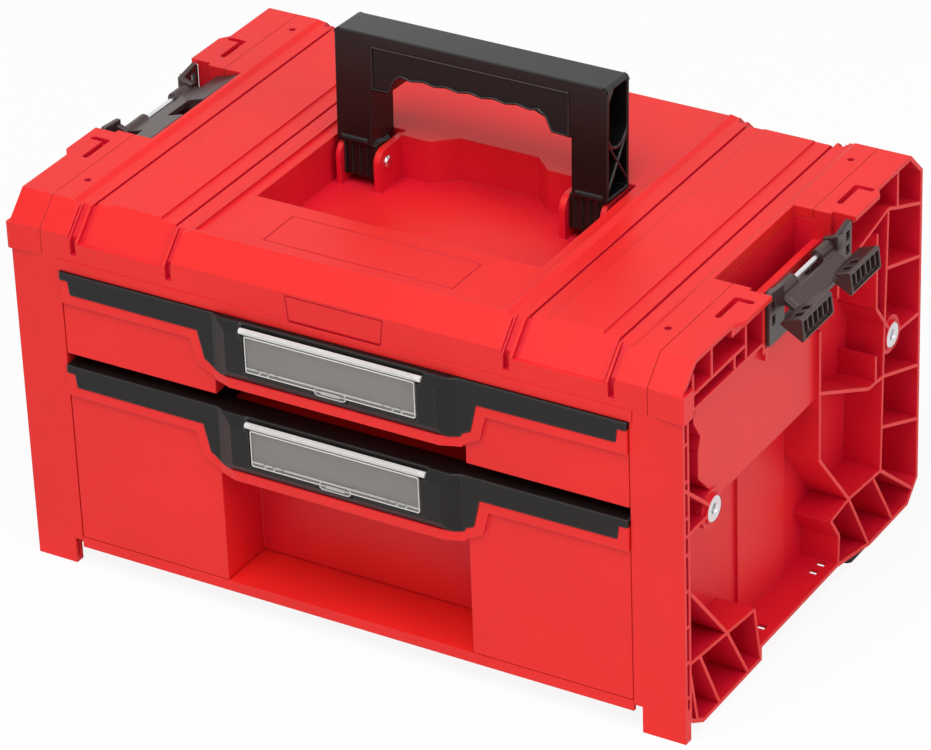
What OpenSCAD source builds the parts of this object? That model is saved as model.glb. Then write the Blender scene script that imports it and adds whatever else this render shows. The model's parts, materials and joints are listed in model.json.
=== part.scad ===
// Portable tool box: a red moulded case with two drawers, a folding carry
// handle, hinged label covers and a stacking clip in a pocket on each side.
// The left clip rests folded into its pocket, the right one hangs swung out.
// The origin is on the floor under the middle of the whole, swung clip included.
// X runs across the front, Y from the front to the back, Z up.

/* [Case] */
// Width over both side frames
case_w = 450; // [430:1:500]
// Depth from the front face to the back face
case_d = 302.5; // [295:0.5:340]
// Height from the floor to the top cover
case_h = 246; // [240:1:280]
// Bevel along the front top edge
front_bevel = 15.6; // [12:0.1:17]
// Bevel along the back top edge
back_bevel = 16; // [12:0.1:17]
// Wall of the red mouldings
wall = 2.6; // [2.2:0.1:3]
// Gap at the seams between fixed mouldings
seam_gap = 0.2; // [0.1:0.05:0.3]
// Gap round the pieces that move
run_gap = 0.5; // [0.4:0.05:0.7]

/* [Side frames] */
// Depth of the open side of a frame, outer edge to web
frame_depth = 25.4; // [24:0.1:28]
// Width of the frame's own strip on top
strip_w = 21.7; // [20:0.1:23]
// Width of the front post
post_w = 33.5; // [32:0.1:36]
// Thickness of the ribs in the frame
rib_t = 2.2; // [1.8:0.1:2.8]
// Depth of the foot under the post, front to back
post_foot_d = 6.4; // [5:0.1:8]
// Outer diameter of the cross bosses
boss_d = 18.6; // [17:0.1:22]
// Flange diameter of the steel sleeves
sleeve_flange_d = 16.4; // [14:0.1:16.6]
// Outer diameter of the steel sleeves
sleeve_d = 10; // [9:0.1:12]
// Bore of the steel sleeves
sleeve_bore_d = 6; // [5:0.1:7]
// Height of the rubber feet
foot_h = 3; // [2:0.1:4]
// Length of a rubber foot, front to back
foot_l = 24; // [18:1:30]

/* [Top cover] */
// Depth of the grooves on the front and back of the cover
groove_depth = 4; // [3:0.1:5]
// Width of these grooves
groove_w = 4; // [3:0.1:5]
// Width of the slits that run over the cover beside the pads
slit_w = 2; // [1.5:0.1:3]
// Drop of the sloping channels beside the pads
channel_drop = 2.1; // [1.5:0.1:2.5]
// Drop of the two wide pads
pad_drop = 0.8; // [0.4:0.1:1.2]
// Drop of the middle field
field_drop = 2; // [1:0.1:3]
// Finger room between the handle's legs and the sides of the recess
recess_gap = 3.6; // [2.8:0.1:4]
// Depth of the recess below the top
recess_depth = 30.5; // [29:0.1:32]
// Height of the cover's front lip
lip_h = 7; // [5:0.1:8]

/* [Carry handle] */
// Width over the legs
handle_w = 185.6; // [180:0.2:188]
// Depth of the handle, front to back
handle_d = 26.2; // [24:0.1:27]
// Height of the handle above its hinge pin
handle_rise = 84.3; // [78:0.1:86]
// Width of a leg
leg_w = 24.4; // [23:0.1:25]
// Height of the cross bar
bar_h = 24.5; // [22:0.5:27]
// Lean of the raised handle to the back
handle_lean = 2.3; // [0:0.1:3]
// Diameter of the handle pins
handle_pin_d = 6; // [5:0.1:7]

/* [Drawers] */
// Height taken by the upper drawer
upper_pitch = 63.3; // [60:0.1:70]
// Height of the front rail above the floor
rail_top = 20; // [18:0.5:22]
// Thickness of the front rail and base floor
rail_t = 2.5; // [2:0.1:3]
// Half width of the set-back middle of a drawer front
niche_hw = 85; // [80:0.5:88]
// Set-back of the middle of a drawer front
niche_depth = 39.5; // [34:0.5:44]
// Width of the raised band under the grip strip
band_w = 6.8; // [6:0.1:8]
// How far the band stands in front of the drawer front
band_out = 2; // [1.5:0.1:2.4]
// How far the grip strip's middle stands in front of the case
grip_out = 8.5; // [8:0.1:10]
// Travel of each drawer
drawer_travel = 200; // [150:5:210]
// Free space behind a closed drawer
back_space = 22; // [18:1:30]

/* [Label covers] */
// Width of the clear cover
label_w = 115; // [100:1:120]
// Height of the clear cover
label_h = 22; // [20:0.5:24]
// Thickness of the clear cover
label_t = 1.4; // [1:0.1:1.6]

/* [Side clips] */
// Width of the clip lever over its hooks
clip_w = 97.5; // [94:0.5:100]
// Reach of the clip lever from its pin
clip_reach = 30.2; // [29:0.1:30.4]
// Angle of the hanging clip below the horizontal
clip_angle = 30; // [20:1:35]
// Slope of the folded clip, up towards its hooks
clip_fold = 17; // [15:1:20]
// Diameter of the clip pin
clip_pin_d = 3.4; // [3:0.1:4]

/* [Hidden] */

case_red = [0.86, 0.13, 0.12];
trim_black = [0.2, 0.2, 0.19];
clip_brown = [0.3, 0.24, 0.23];
steel = [0.8, 0.8, 0.82];
clear_grey = [0.75, 0.76, 0.76, 0.6];
paper_grey = [0.55, 0.55, 0.53];
rubber_dark = [0.12, 0.1, 0.1];

$fn = 48;
eps = 0.01;
root2 = sqrt(2);

// Planes of the case
hw = case_w / 2;
yf = grip_out - (case_d + grip_out) / 2;
yb = yf + case_d;
web_x = hw - frame_depth;
seam_x = hw - strip_w;
open_x = hw - post_w;
bay_x = web_x - wall;
inner_z = case_h - groove_depth - wall;
lip_top = case_h - 33;
lip_z = lip_top - lip_h;
mid_y = (yf + yb) / 2;

// Distances from the front face, the back face and the top
function front(d) = yf + d;
function back(d) = yb - d;
function top(d) = case_h - d;

// Closed outline moved inwards by t, with mitred corners
function line_dir(a, b) = (b - a) / norm(b - a);
function left_of(v) = [-v[1], v[0]];
function cross2(a, b) = a[0] * b[1] - a[1] * b[0];
function meet(p, u, q, v) = p + u * cross2(q - p, v) / cross2(u, v);
function inset_corner(a, b, c, t) = let(u = line_dir(a, b), v = line_dir(b, c))
    meet(a + left_of(u) * t, u, b + left_of(v) * t, v);
function inset(pts, t) = let(n = len(pts))
    [for (i = [0 : n - 1]) inset_corner(pts[(i + n - 1) % n], pts[i], pts[(i + 1) % n], t)];

// Points of an arc about a centre
function arc(c, r, a0, a1, n) = [for (i = [0 : n]) let(a = a0 + (a1 - a0) * i / n)
    c + r * [cos(a), sin(a)]];

// Flat shapes carried along X, Y or Z
module along_x(x0, x1) translate([x0, 0, 0]) rotate([90, 0, 90])
    linear_extrude(x1 - x0) children();
module along_y(y0, y1) translate([0, y1, 0]) rotate([90, 0, 0])
    linear_extrude(y1 - y0) children();
module along_z(z0, z1) translate([0, 0, z0]) linear_extrude(z1 - z0) children();
module block(x0, x1, y0, y1, z0, z1) translate([x0, y0, z0]) cube([x1 - x0, y1 - y0, z1 - z0]);
module both_sides() {
    children();
    mirror([1, 0, 0]) children();
}
module rod_x(x0, x1, y, z, d) translate([x0, y, z]) rotate([0, 90, 0])
    cylinder(d = d, h = x1 - x0);
module rod_y(y0, y1, x, z, d) translate([x, y1, z]) rotate([90, 0, 0])
    cylinder(d = d, h = y1 - y0);

// Straight bar in the plane between two points
module bar(p, q, t) {
    n = left_of(line_dir(p, q)) * t / 2;
    polygon([p + n, p - n, q - n, q + n]);
}
module bars(list, t) for (b = list) bar(b[0], b[1], t);

// ---- Side frames ----

// Underside of the sill between the feet
sill_z = 11.8;
// Outline of a frame seen from the side, anticlockwise
side_outline = [[yf, 0], [front(post_foot_d), 0], [front(post_foot_d), 12], [front(8.5), 10],
    [front(21.5), foot_h], [front(94), foot_h], [front(94), sill_z], [back(110.6), sill_z],
    [back(66), foot_h], [back(13.7), foot_h], [yb, 16], [yb, top(back_bevel)],
    [back(back_bevel), case_h], [front(front_bevel), case_h], [yf, top(front_bevel)]];

// Where the ribs meet, back half
col_top = [back(46), top(21)];
col_mid = [back(50.7), 113.4];
col_low = [back(52.5), 48.4];
truss_back = [back(95.5), 51.8];
niche_rib_y = back(134.5);
boss_back = [back(37.7), 135.5];
boss_front = [front(37.4), 138.2];
truss_front = [front(51), 47];
pocket_y = [mid_y - clip_w / 2 - 0.8, mid_y + clip_w / 2 + 0.8];

back_ribs = [
    [col_top, col_mid], [col_mid, col_low],
    [[back(95), top(31)], col_top], [col_top, [back(33.7), top(26)]],
    [[back(33.7), top(26)], [back(0), top(38.7)]],
    [[back(33.7), top(1)], [back(33.7), top(26)]],
    [[back(48), 186], [back(0), 171.3]],
    [boss_back, [back(0), 132.5]],
    [col_mid, [back(0), 95.8]],
    [[back(51.5), 78.5], [back(0), 57.7]],
    [col_low, [back(7), 11]],
    [[back(62), 47.6], [back(35), 4]],
    [[back(60.5), top(31)], [back(60.5), 164.6]],
    [[back(60.5), 164.6], boss_back],
    [[back(60.5), 132], [back(60.5), 114.6]],
    [[niche_rib_y, 145.2], [back(70.2), 115]], [[back(70.2), 115], col_mid],
    [[niche_rib_y, 187], [niche_rib_y, 99]], [[niche_rib_y, 99.5], truss_back],
    [truss_back, [back(67.5), 4]], [col_low, truss_back],
    [truss_back, [back(119), 49]], [[back(119), 49], [back(108), 33]],
    [[back(108), 33], [back(109), 12]]];
front_ribs = [
    [[front(6.7), 51.6], truss_front], [truss_front, [front(84.8), 43.2]],
    [[front(84.8), 43.2], [front(92.5), 5]],
    [[front(8), 98], truss_front], [truss_front, [front(77.2), 4]],
    [[front(17.8), 50.4], [front(41.7), 4]],
    [[front(6.6), 44.4], [front(14.6), 8]],
    [[front(1), 138.2], boss_front], [[front(1), 170], [front(22), 152]],
    [[front(22), 152], boss_front],
    [[front(post_foot_d), 10], [front(post_foot_d), top(31)]],
    [[front(1), top(21)], [front(76), top(21)]],
    [[front(1), top(31)], [pocket_y[0], top(31)]],
    [[front(35), top(1)], [front(35), top(21)]],
    [[front(75.7), top(1)], [front(75.7), top(31)]],
    [[front(62), top(21)], [front(62), top(31)]],
    [[front(13), top(8)], [front(13), top(31)]]];
post_rungs = [for (z = [30 : 24 : 200]) [[front(1), z], [front(post_foot_d), z]]];

// Raised panel beside the front boss, seen from the side
panel_x = hw - 3;
panel_low = 138;
panel_top = top(36.5);
panel_edge = [[niche_rib_y, panel_top], [front(21), panel_top], [front(19), 204],
    [front(27.6), 191], [front(24.4), 182], [front(24.4), 165], [front(50), panel_low]];
panel_outline = concat(panel_edge, [[niche_rib_y, panel_low]]);
panel_wall = [for (i = [0 : len(panel_edge) - 2]) [panel_edge[i], panel_edge[i + 1]]];
pilaster_y = front(108.7);
pilaster_t = 2;

// Slots that drain the sill
drain_l = 5;
drain_y = [front(98), front(108), back(127), back(117)];

// C-shaped keying grooves on the strip beside the pocket
key_y = [mid_y - 75.5, mid_y + 75.5];
key_x = hw - 11.5;
key_l = 26;
key_w = 4;
// How far the strip stands out beside the pocket
swell = 4.5;

// Pocket for the clip, stepped below the pin and wider at the side face
pocket_x = hw - 34;
step_x = [hw - 22, hw - 17];
step_z = top(19.5);
pocket_floor = top(41);
wide_x = hw - 10;
wide_z = top(35.5);
wide_y = [mid_y - clip_w / 2 - 3.8, mid_y + clip_w / 2 + 3.8];
pin_x = hw - 3.5;
pin_z = top(11.5);

module key_groove() {
    square_y = key_l / 2 - key_w / 2;
    along_z(case_h - 4, case_h + 1) {
        bar([key_x, -square_y], [key_x, square_y], key_w);
        bar([key_x, square_y], [key_x + 9, square_y], key_w);
        for (p = [[key_x, -square_y], [key_x, square_y], [key_x + 9, square_y]])
            translate(p) circle(d = key_w);
    }
}

module pocket_liner() {
    y0 = pocket_y[0];
    y1 = pocket_y[1];
    along_y(y0 - wall, y1 + wall) polygon([
        [pocket_x - wall, inner_z - seam_gap], [pocket_x, inner_z - seam_gap],
        [pocket_x, pocket_floor], [step_x[0], pocket_floor], [step_x[0], step_z],
        [step_x[1], step_z], [step_x[1], pocket_floor - wall],
        [pocket_x - wall, pocket_floor - wall]]);
    for (y = [y0 - wall, y1]) {
        block(pocket_x - wall, hw, y, y + wall, pocket_floor - wall, inner_z - seam_gap);
        block(web_x, panel_x - wall, y, y + wall, pocket_floor - wall - 12, pocket_floor);
        block(seam_x + seam_gap, wide_x, y, y + wall, pocket_floor, case_h - eps);
    }
    for (y = [[wide_y[0] - wall, y0], [y1, wide_y[1] + wall]])
        block(wide_x - wall, hw, y[0], y[1], wide_z - wall, case_h - eps);
}

module front_post() {
    block(open_x, hw, yf, yf + wall, rail_top - rail_t, lip_z - seam_gap);
    block(open_x + 2, hw, yf, yf + wall, lip_z - 1, lip_top);
    block(seam_x + seam_gap, hw, yf, yf + wall, lip_top - 1, top(front_bevel));
    block(hw - 19.7, hw, yf, yf + post_foot_d, 0, rail_top + 2);
    block(open_x, open_x + wall, yf, yf + 26, rail_top - rail_t, lip_z - seam_gap);
    block(open_x, web_x, yf + 26 - wall, yf + 26, rail_top - rail_t, lip_z - seam_gap);
    // Corner band that swells outwards beside the cover
    along_z(lip_top, top(front_bevel)) polygon([[seam_x + seam_gap, yf],
        [hw, yf - 1.8], [hw + 1.8, yf - 1.2], [hw + 1.8, yf + 10], [hw, yf + 12],
        [hw - wall, yf + 12], [hw - wall, yf + wall], [seam_x + seam_gap, yf + wall]]);
}

// Wall that runs round a frame's outline
module frame_rim() difference() {
    polygon(side_outline);
    polygon(inset(side_outline, wall));
}

module side_frame() {
    under_cover = [[yf - 9, -9], [yb + 9, -9], [yb + 9, lip_top],
        [yb - groove_depth - wall, lip_top],
        [back(back_bevel) - 4, inner_z - seam_gap], [front(front_bevel) + 4, inner_z - seam_gap],
        [yf + groove_depth + wall, lip_top], [yf - 9, lip_top]];
    difference() {
        union() {
            // Outside the seam the frame has its own top strip
            along_x(seam_x + seam_gap, hw) frame_rim();
            // Inside it everything stays under the cover
            intersection() {
                along_x(bay_x, seam_x + seam_gap + eps) frame_rim();
                along_x(bay_x, hw) polygon(under_cover);
            }
            intersection() {
                along_x(bay_x, web_x) intersection() {
                    polygon(side_outline);
                    polygon(under_cover);
                }
                block(bay_x, web_x, front(14), yb, 0, case_h);
            }
            intersection() {
                along_x(web_x - eps, hw) intersection() {
                    polygon(side_outline);
                    union() {
                        bars(back_ribs, rib_t);
                        bars(front_ribs, rib_t);
                        bars(post_rungs, rib_t);
                    }
                }
                union() {
                    along_x(web_x - eps, seam_x + 1) polygon(under_cover);
                    block(seam_x + seam_gap, hw, yf, yb, 0, case_h);
                }
            }
            for (p = [boss_back, boss_front]) {
                rod_x(web_x - eps, hw, p[0], p[1], boss_d);
                translate([web_x - eps, p[0], p[1]]) rotate([0, 90, 0])
                    cylinder(d1 = boss_d + 8, d2 = boss_d + 6, h = frame_depth - 2);
            }
            // Raised panel with its bevelled lower edge, and the pilaster behind it
            intersection() {
                along_x(panel_x - wall, panel_x) polygon(panel_outline);
                along_y(yf, yb) polygon([[panel_x - wall, case_h], [panel_x, case_h],
                    [panel_x, panel_low + 3.5], [panel_x - 2, panel_low - eps],
                    [panel_x - wall, panel_low - eps]]);
            }
            along_x(web_x - eps, panel_x) intersection() {
                bars(panel_wall, rib_t);
                polygon(side_outline);
            }
            block(web_x - eps, web_x + pilaster_t, pilaster_y, niche_rib_y, sill_z + 1, 150);
            pocket_liner();
            front_post();
            for (y = key_y) {
                block(hw - 16.5, hw, y - 17, y + 17, top(8), case_h - eps);
            }
            // The strip swells outwards from there to the pocket
            for (side = [-1, 1]) along_z(top(3), case_h) translate([0, mid_y])
                polygon([[hw - 1, side * 90], [hw, side * 90], [hw + swell, side * 84],
                    [hw + swell, side * 50], [hw - 1, side * 50]]);
        }
        // Clip pocket
        block(pocket_x, hw + 9, pocket_y[0], pocket_y[1], step_z, case_h + 9);
        block(pocket_x, step_x[0], pocket_y[0], pocket_y[1], pocket_floor, step_z + eps);
        block(step_x[1], hw + 9, pocket_y[0], pocket_y[1], wide_z, step_z + eps);
        block(wide_x, hw + 9, wide_y[0], wide_y[1], wide_z, case_h + 9);
        for (y = key_y) translate([0, y, 0]) key_groove();
        for (p = [boss_back, boss_front]) {
            rod_x(bay_x - 1, hw + 1, p[0], p[1], sleeve_d + 0.1);
            rod_x(hw - 1.2, hw + 1, p[0], p[1], sleeve_flange_d + 0.2);
        }
        // Drain slots in the sill
        for (y = drain_y) block(hw - 12, hw - 6, y, y + drain_l, sill_z - 4, sill_z + 4);
    }
}
module right_side_frame() color(case_red) side_frame();
module left_side_frame() color(case_red) mirror([1, 0, 0]) side_frame();

module sleeve(p) {
    difference() {
        union() {
            rod_x(bay_x, hw, p[0], p[1], sleeve_d);
            rod_x(hw - 1.2, hw, p[0], p[1], sleeve_flange_d);
        }
        rod_x(bay_x - 1, hw + 1, p[0], p[1], sleeve_bore_d);
    }
}
module side_sleeves() color(steel) both_sides() {
    sleeve(boss_back);
    sleeve(boss_front);
}

foot_y = [front(71), back(75.5)];
module rubber_feet() color(rubber_dark) both_sides() for (y = foot_y)
    along_z(0, foot_h) translate([hw - 11, y]) polygon([[-7, -foot_l / 2], [6, -foot_l / 2],
        [8, 2 - foot_l / 2], [8, foot_l / 2 - 2], [6, foot_l / 2], [-7, foot_l / 2]]);

// ---- Base and back ----

module base_floor() color(case_red) {
    x = bay_x - seam_gap;
    block(-x, x, front(28), back(wall + seam_gap), rail_top - rail_t, rail_top);
    block(seam_gap - open_x, open_x - seam_gap, yf, front(29), rail_top - rail_t, rail_top);
    // Turned-down front edge and stiffening ribs underneath
    block(seam_gap - open_x, open_x - seam_gap, yf, yf + wall, rail_top - 7, rail_top);
    for (i = [-3 : 3])
        block(i * 50 - 1, i * 50 + 1, yf + wall, back(wall + seam_gap), rail_top - 8,
            rail_top - rail_t + eps);
}

back_field = [seam_x - 26, 34];
module back_panel() color(case_red) {
    x = seam_x - seam_gap;
    z0 = 12;
    z1 = lip_top - seam_gap;
    difference() {
        union() {
            block(-bay_x + seam_gap, bay_x - seam_gap, back(wall), yb, z0, z1);
            // Stiffening ribs inside, clear of the drawers
            for (i = [-3 : 3])
                block(i * 52 - 1, i * 52 + 1, back(8), back(wall) + eps, rail_top + 1, z1 - 10);
        }
        // Sunk field with a bevelled top corner
        along_y(back(0.8), yb + 1) polygon([[-back_field[0], back_field[1]],
            [back_field[0], back_field[1]], [back_field[0], z1 - 40],
            [back_field[0] - 20, z1 - 18], [20 - back_field[0], z1 - 18],
            [-back_field[0], z1 - 40]]);
    }
}

// ---- Top cover ----

bevel_front_k = top(front_bevel) - yf;
bevel_back_k = top(back_bevel) + yb;
// Outline of the cover from the side, sunk at the top, bevels and ends
function cover_shape(nt, nb, ne, zl) = [
    [yf + ne, zl], [yb - ne, zl],
    [yb - ne, bevel_back_k - nb * root2 - yb + ne],
    [bevel_back_k - nb * root2 - top(nt), top(nt)],
    [top(nt) - bevel_front_k + nb * root2, top(nt)],
    [yf + ne, yf + ne + bevel_front_k - nb * root2]];

groove_x = [113.4, 180.4];
slit_x = [118.5, 175.7];
pad_x = [130.7, 164.3];
// Top edge and foot of the slopes that lead down into the channels
slope_x = [[105.3, 108.6], [188.5, 184.9]];
pad_bevel = 5.3;
pad_ledge_z = top(20);
groove_end_z = top(28);
field_front = front(front_bevel + 2);

pivot_y = mid_y + 10;
pivot_z = top(12.8);
recess_front = pivot_y - handle_rise - 5.4;
recess_back = pivot_y + 22.5;
recess_step = pivot_y + 15.7;
recess_bow = pivot_y + 28;
floor_z = top(recess_depth);
leg_x = handle_w / 2 - leg_w;
recess_hw = handle_w / 2 + recess_gap;
field_hw = recess_hw + 7.9;
ear_in = [leg_x - 6.9, leg_x - 2.7];
ear_out = [handle_w / 2 - 3.8, handle_w / 2 - 0.5];
ear_reach = 9.4;
ear_corner = 9;
recess_outline = [[-recess_hw, recess_front], [recess_hw, recess_front],
    [recess_hw, recess_back], [ear_in[0], recess_back], [ear_in[0], recess_step],
    [40.5, recess_step], [27, recess_bow], [-27, recess_bow], [-40.5, recess_step],
    [-ear_in[0], recess_step], [-ear_in[0], recess_back], [-recess_hw, recess_back]];

module cover_cut(x0, x1, shape, z_end) along_x(x0, x1) difference() {
    translate([yf - 9, z_end]) square([case_d + 18, case_h - z_end + 9]);
    polygon(shape);
}

// Ear for the handle pin: a plate with its upper front corner rounded
module ear(x0, x1) along_x(x0, x1) polygon(concat(
    [[recess_back + 1, floor_z - eps], [recess_back + 1, pivot_z + ear_reach]],
    arc([pivot_y - ear_reach + ear_corner, pivot_z + ear_reach - ear_corner], ear_corner,
        90, 180, 10), [[pivot_y - ear_reach, floor_z - eps]]));

module cover_badge() {
    // Plain framed name-plate place on the front
    along_y(yf - 1, yf + 0.6) difference() {
        polygon([[-33.2, lip_top + 16], [33.2, lip_top + 16], [31.3, lip_top - 1],
            [-31.3, lip_top - 1]]);
        polygon([[-32.2, lip_top + 15], [32.2, lip_top + 15], [30.4, lip_top],
            [-30.4, lip_top]]);
    }
}

module top_cover() color(case_red) {
    x = seam_x - seam_gap;
    skin = groove_depth + wall;
    difference() {
        union() {
            difference() {
                along_x(-x, x) polygon(cover_shape(0, 0, 0, lip_top));
                along_x(-x - 1, x + 1) polygon(cover_shape(skin, skin, skin, lip_top - 1));
                // The skin is thinner again under the pads and the middle field
                both_sides() along_x(pad_x[0] + wall, pad_x[1] - wall)
                    polygon(cover_shape(pad_drop + wall, pad_bevel + wall, wall, lip_top - 1));
                along_x(wall - field_hw, field_hw - wall)
                    polygon(cover_shape(field_drop + wall, wall, wall, lip_top - 1));
                both_sides() {
                    // Channels on both sides of the pads, with their slopes on top
                    for (x = [[groove_x[0] - 3, pad_x[0]], [pad_x[1], groove_x[1] + 3]])
                        cover_cut(x[0], x[1], cover_shape(channel_drop, channel_drop, 0, -9),
                            groove_end_z);
                    for (i = [0, 1]) along_y(yf - 1, yb + 1) polygon([[slope_x[i][0], case_h],
                        [slope_x[i][1], top(channel_drop)], [groove_x[i], top(channel_drop)],
                        [groove_x[i], case_h + 1], [slope_x[i][0], case_h + 1]]);
                    // Slits over the top and bevels, grooves down the front and back
                    for (x = slit_x) cover_cut(x - slit_w / 2, x + slit_w / 2,
                        cover_shape(groove_depth, pad_bevel + 0.6, 0, -9), pad_ledge_z);
                    for (x = groove_x) cover_cut(x - groove_w / 2, x + groove_w / 2,
                        cover_shape(channel_drop, groove_depth, groove_depth, -9), groove_end_z);
                    cover_cut(slit_x[0], slit_x[1], cover_shape(pad_drop, pad_bevel, 0, -9),
                        pad_ledge_z);
                }
                block(-field_hw, field_hw, field_front, yb + 1, top(field_drop), case_h + 1);
            }
            // Lip above the drawer opening
            block(-open_x - 2 + seam_gap, open_x + 2 - seam_gap, yf - 0.6, yf + wall, lip_z,
                lip_top + eps);
            // Tub under the handle
            along_z(floor_z - wall, top(field_drop)) polygon(inset(recess_outline, -wall));
        }
        along_z(floor_z, case_h + 1) polygon(recess_outline);
        both_sides() {
            block(pocket_x, seam_x + 1, pocket_y[0], pocket_y[1], lip_top - 1, case_h + 1);
            // Screw holes down into the side frames
            for (y = cover_screw_y) translate([cover_screw_x, y, inner_z - 1])
                cylinder(d = 4.4, h = case_h);
        }
        cover_badge();
        // Faint outlined rectangle in front of the recess
        along_z(top(field_drop + 0.5), case_h) translate([0, front(43.5)]) difference() {
            square([128, 33], center = true);
            square([126.4, 31.4], center = true);
        }
    }
    both_sides() difference() {
        union() {
            ear(ear_in[0], ear_in[1]);
            ear(ear_out[0], ear_out[1]);
        }
        rod_x(ear_in[0] - 1, ear_out[1] + 1, pivot_y, pivot_z, handle_pin_d);
    }
}

module handle_pins() color(steel) both_sides()
    rod_x(ear_in[0] - 0.4, ear_out[1] + 0.4, pivot_y, pivot_z, handle_pin_d - 0.04);

cover_screw_x = hw - 30;
cover_screw_y = [front(40), back(36)];
module cover_screws() color(steel) both_sides() for (y = cover_screw_y)
    translate([cover_screw_x, y, inner_z]) cylinder(d = 4.2, h = 1);

// ---- Carry handle ----

// The handle is drawn upright round its pin at [0, 0] in Y and Z
handle_y0 = -6.7;
handle_y1 = handle_y0 + handle_d;
leg_z = ear_reach + run_gap + handle_y1 * sin(handle_lean);
bar_z = handle_rise - bar_h;
grip_hw = leg_x - 1.6;
lam_x = [ear_in[1] + run_gap, ear_out[0] - run_gap];
lam_r = 12.3;
lam_y = -5;
corner_r = 3;
grip_top = handle_rise - 8;

// Finger waves under the bar
wave_hw = grip_hw - 19;
wave_pitch = 16;
wave_depth = 0.7;
function wave_edge(z) = [for (x = [-wave_hw : 4 : wave_hw])
    [x, z + wave_depth * cos(360 * x / wave_pitch)]];
function bar_edge(hw, z) = concat([[-hw, z - 12], [-wave_hw - 8, z - 11.5], [-wave_hw - 4, z - 3]],
    wave_edge(z), [[wave_hw + 4, z - 3], [wave_hw + 8, z - 11.5], [hw, z - 12]]);

handle_outline = concat(bar_edge(leg_x, bar_z), [[leg_x, leg_z], [handle_w / 2, leg_z]],
    arc([handle_w / 2 - corner_r, handle_rise - corner_r], corner_r, 0, 90, 6),
    arc([corner_r - handle_w / 2, handle_rise - corner_r], corner_r, 90, 180, 6),
    [[-handle_w / 2, leg_z], [-leg_x, leg_z]]);
grip_outline = concat(bar_edge(grip_hw, bar_z + 1.2), [[grip_hw, grip_top], [-grip_hw, grip_top]]);
grip_t = 2;

module leg_window() {
    // U-shaped pocket above a crossed pair of ribs, open on the outer side
    w = handle_d - 4.4;
    u_z = 54.5;
    low = leg_z + 2.4;
    along_x(handle_w / 2 - 20, handle_w / 2 + 1) translate([handle_y0 + 2.2, 0]) {
        translate([w / 2, u_z]) circle(d = w);
        polygon([[0, u_z], [w, u_z], [w, handle_rise - 3], [6, handle_rise - 3],
            [0, handle_rise - 11]]);
        difference() {
            translate([0, low]) square([w, u_z - low]);
            translate([w / 2, u_z]) circle(d = w + 2 * rib_t);
            bar([-1, low + 4], [w + 1, u_z - 6], 1.6);
            bar([w + 1, low + 4], [-1, u_z - 6], 1.6);
        }
    }
}

module handle_place() translate([0, pivot_y, pivot_z]) rotate([-handle_lean, 0, 0]) children();

module carry_handle() color(trim_black) handle_place() difference() {
    union() {
        along_y(handle_y0, handle_y1) polygon(handle_outline);
        both_sides() {
            // Lamella that turns between the ears, grooved down its front
            difference() {
                along_x(lam_x[0], lam_x[1]) {
                    intersection() {
                        circle(r = lam_r);
                        translate([lam_y, -lam_r]) square([2 * lam_r, 2 * lam_r]);
                    }
                    translate([lam_y, 0]) square([lam_r - lam_y, leg_z + eps]);
                }
                for (i = [0 : 3]) translate([lam_x[0] + 4 + i * 5.2, lam_y - 1, -lam_r])
                    cube([2.4, 2.2, lam_r + leg_z]);
            }
            // Raised bar low on the front of each leg
            block(leg_x + 3, handle_w / 2 - 3.5, handle_y0 - 0.6, handle_y0 + eps, leg_z + 2.4,
                leg_z + 4);
        }
    }
    both_sides() {
        leg_window();
        rod_x(ear_in[0] - 1, handle_w / 2 + 1, 0, 0, handle_pin_d + 0.08);
    }
    along_y(handle_y0 - 1, handle_y0 + grip_t) polygon(inset(grip_outline, -0.1));
    // Long hollow under the bar
    block(-wave_hw, wave_hw, handle_y0 + 6, handle_y1 - 4, bar_z - 1, bar_z + 14);
}

module handle_grip() color(rubber_dark) handle_place() along_y(handle_y0 + 0.4, handle_y0 + grip_t)
    polygon(grip_outline);

// ---- Drawers ----

upper_top = lip_z - seam_gap;
lower_top = upper_top - upper_pitch;
upper_base = lower_top + 7;
lower_base = rail_top + run_gap;
front_hw = open_x - 0.7;
tray_hw = open_x - 7.5;
tray_back = back(back_space);
niche_y = front(niche_depth);
trim_h = 5.3;
rail_h = 6;
rail_x = open_x - 0.5;

// Lower edge of the grip strip, right half, as distances below its top
function trim_low(zt) = [[front_hw - 6, zt - trim_h], [front_hw - 7, zt - 14.3],
    [94, zt - 14.8], [89.7, zt - 33.3], [79, zt - 38.3]];
// Outer edge of the red band below it
function band_low(zt) = [[front_hw, zt - trim_h], [front_hw, zt - 14.3 - band_w],
    [94 + 5.6, zt - 14.8 - band_w], [95.6, zt - 37.3], [81, zt - 38.3 - band_w]];
function flip(pts) = [for (i = [len(pts) - 1 : -1 : 0]) [-pts[i][0], pts[i][1]]];

bulge_hw = [71, 84];
module bulge_plan(out, back_y) polygon([[-bulge_hw[1], back_y], [bulge_hw[1], back_y],
    [bulge_hw[1], yf - band_out], [bulge_hw[0], yf - out], [-bulge_hw[0], yf - out],
    [-bulge_hw[1], yf - band_out]]);

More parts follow.
